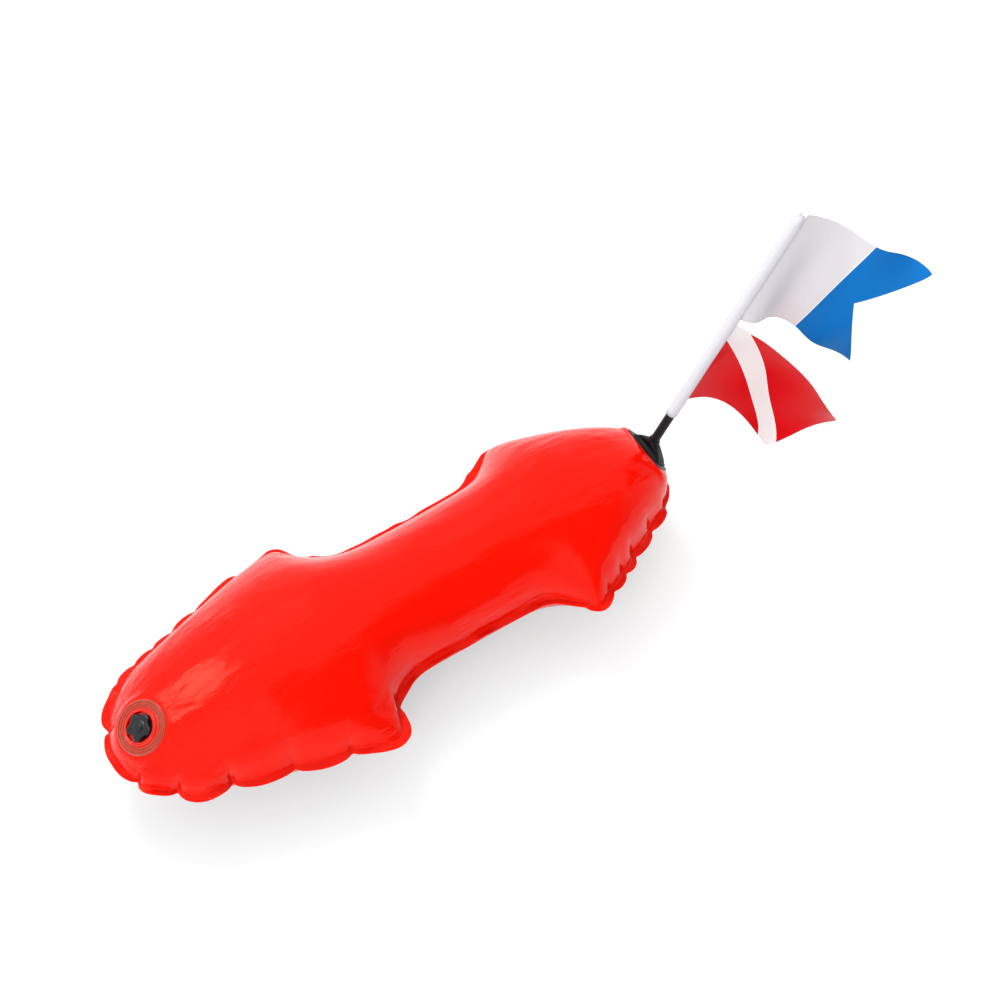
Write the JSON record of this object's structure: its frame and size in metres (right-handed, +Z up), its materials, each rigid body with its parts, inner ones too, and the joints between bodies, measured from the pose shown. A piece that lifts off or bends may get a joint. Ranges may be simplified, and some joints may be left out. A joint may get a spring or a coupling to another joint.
{
  "type": "dive float buoy",
  "caption": "Inflatable torpedo-shaped dive float with a screw valve at the nose, a tilted mast with two flags at the tail and D-rings underneath.",
  "frame": {"origin": "centre of the flat under the chest, where the float rests on the ground", "axes": "+X from the nose to the tail with the mast, +Y to the float's left seen from above with the nose behind, +Z up"},
  "size_m": [1.0729, 0.328, 0.4794],
  "materials": {
    "float_pvc": "glossy orange-red welded PVC film",
    "valve_soft_pvc": "soft translucent PVC with raised rings",
    "valve_red_plastic": "glossy moulded red plastic",
    "black_plastic": "fine-grained moulded black plastic",
    "black_pvc": "thin glossy black PVC sheet",
    "black_rubber": "moulded black rubber",
    "black_webbing": "woven black webbing",
    "mast_rod_plastic": "satin black rod",
    "white_flag_vinyl": "white vinyl-coated cloth",
    "white_blue_vinyl": "white and blue printed vinyl-coated cloth",
    "red_white_vinyl": "red and white printed vinyl-coated cloth"
  },
  "bodies": {
    "float": {"upper_panel": "float_pvc", "lower_panel": "float_pvc", "valve_flange": "valve_soft_pvc", "valve_seat": "valve_red_plastic", "mast_patch": "black_pvc", "mast_boot": "black_rubber", "mast_stem": "black_rubber", "nose_patch": "float_pvc", "nose_webbing": "black_webbing", "front_left_patch": "float_pvc", "front_left_webbing": "black_webbing", "front_right_patch": "float_pvc", "front_right_webbing": "black_webbing", "rear_left_patch": "float_pvc", "rear_left_webbing": "black_webbing", "rear_right_patch": "float_pvc", "rear_right_webbing": "black_webbing"},
    "check_membrane": {"valve_membrane": "black_rubber"},
    "cap_lift": {"cap_seal": "black_rubber"},
    "cap": {"valve_cap": "black_plastic"},
    "mast": {"mast_rod": "mast_rod_plastic", "mast_tip": "black_rubber"},
    "flags": {"flag_sleeve": "white_flag_vinyl", "alpha_flag": "white_blue_vinyl", "diver_flag": "red_white_vinyl"},
    "nose_d": {"nose_ring": "black_plastic"},
    "front_left_d": {"front_left_ring": "black_plastic"},
    "front_right_d": {"front_right_ring": "black_plastic"},
    "rear_left_d": {"rear_left_ring": "black_plastic"},
    "rear_right_d": {"rear_right_ring": "black_plastic"}
  },
  "joints": [
    {"name": "membrane_open", "type": "slide", "parent": "float", "child": "check_membrane", "axis": [0.5017, 0, -0.8651], "range_m": [0, 0.0015], "stiffness_N_per_m": 40, "springref_m": -0.0005},
    {"name": "cap_rise", "type": "slide", "parent": "float", "child": "cap_lift", "axis": [-0.5017, 0, 0.8651], "range_m": [0, 0.00625]},
    {"name": "cap_turn", "type": "hinge", "parent": "cap_lift", "child": "cap", "pos_m": [-0.2185, 0, 0.14217], "axis": [-0.5017, 0, 0.8651], "range_deg": [0, 900]},
    {"name": "mast_pull", "type": "slide", "parent": "float", "child": "mast", "axis": [0.497, 0, 0.8678], "range_m": [0, 0.045]},
    {"name": "flag_swing", "type": "hinge", "parent": "mast", "child": "flags", "pos_m": [0.5057, 0, 0.15487], "axis": [0.497, 0, 0.8678], "continuous": true},
    {"name": "nose_ring_swing", "type": "hinge", "parent": "float", "child": "nose_d", "pos_m": [-0.21639, 0, 0.04353], "axis": [0, -1, 0], "range_deg": [-109.3, 46.7]},
    {"name": "front_left_ring_swing", "type": "hinge", "parent": "float", "child": "front_left_d", "pos_m": [-0.0349, 0.10325, 0.03484], "axis": [0.9635, 0.2676, 0], "range_deg": [-30.8, 125.2]},
    {"name": "front_right_ring_swing", "type": "hinge", "parent": "float", "child": "front_right_d", "pos_m": [-0.0349, -0.10325, 0.03484], "axis": [-0.9635, 0.2676, 0], "range_deg": [-30.8, 125.2]},
    {"name": "rear_left_ring_swing", "type": "hinge", "parent": "float", "child": "rear_left_d", "pos_m": [0.37506, 0.09142, 0.03928], "axis": [0.9553, -0.2955, 0], "range_deg": [-26.9, 129.1]},
    {"name": "rear_right_ring_swing", "type": "hinge", "parent": "float", "child": "rear_right_d", "pos_m": [0.37506, -0.09142, 0.03928], "axis": [-0.9553, -0.2955, 0], "range_deg": [-26.9, 129.1]}
  ],
  "couplings": [
    {"joint": "cap_rise", "follows": "cap_turn", "m_per_rad": 0.00039789}
  ]
}
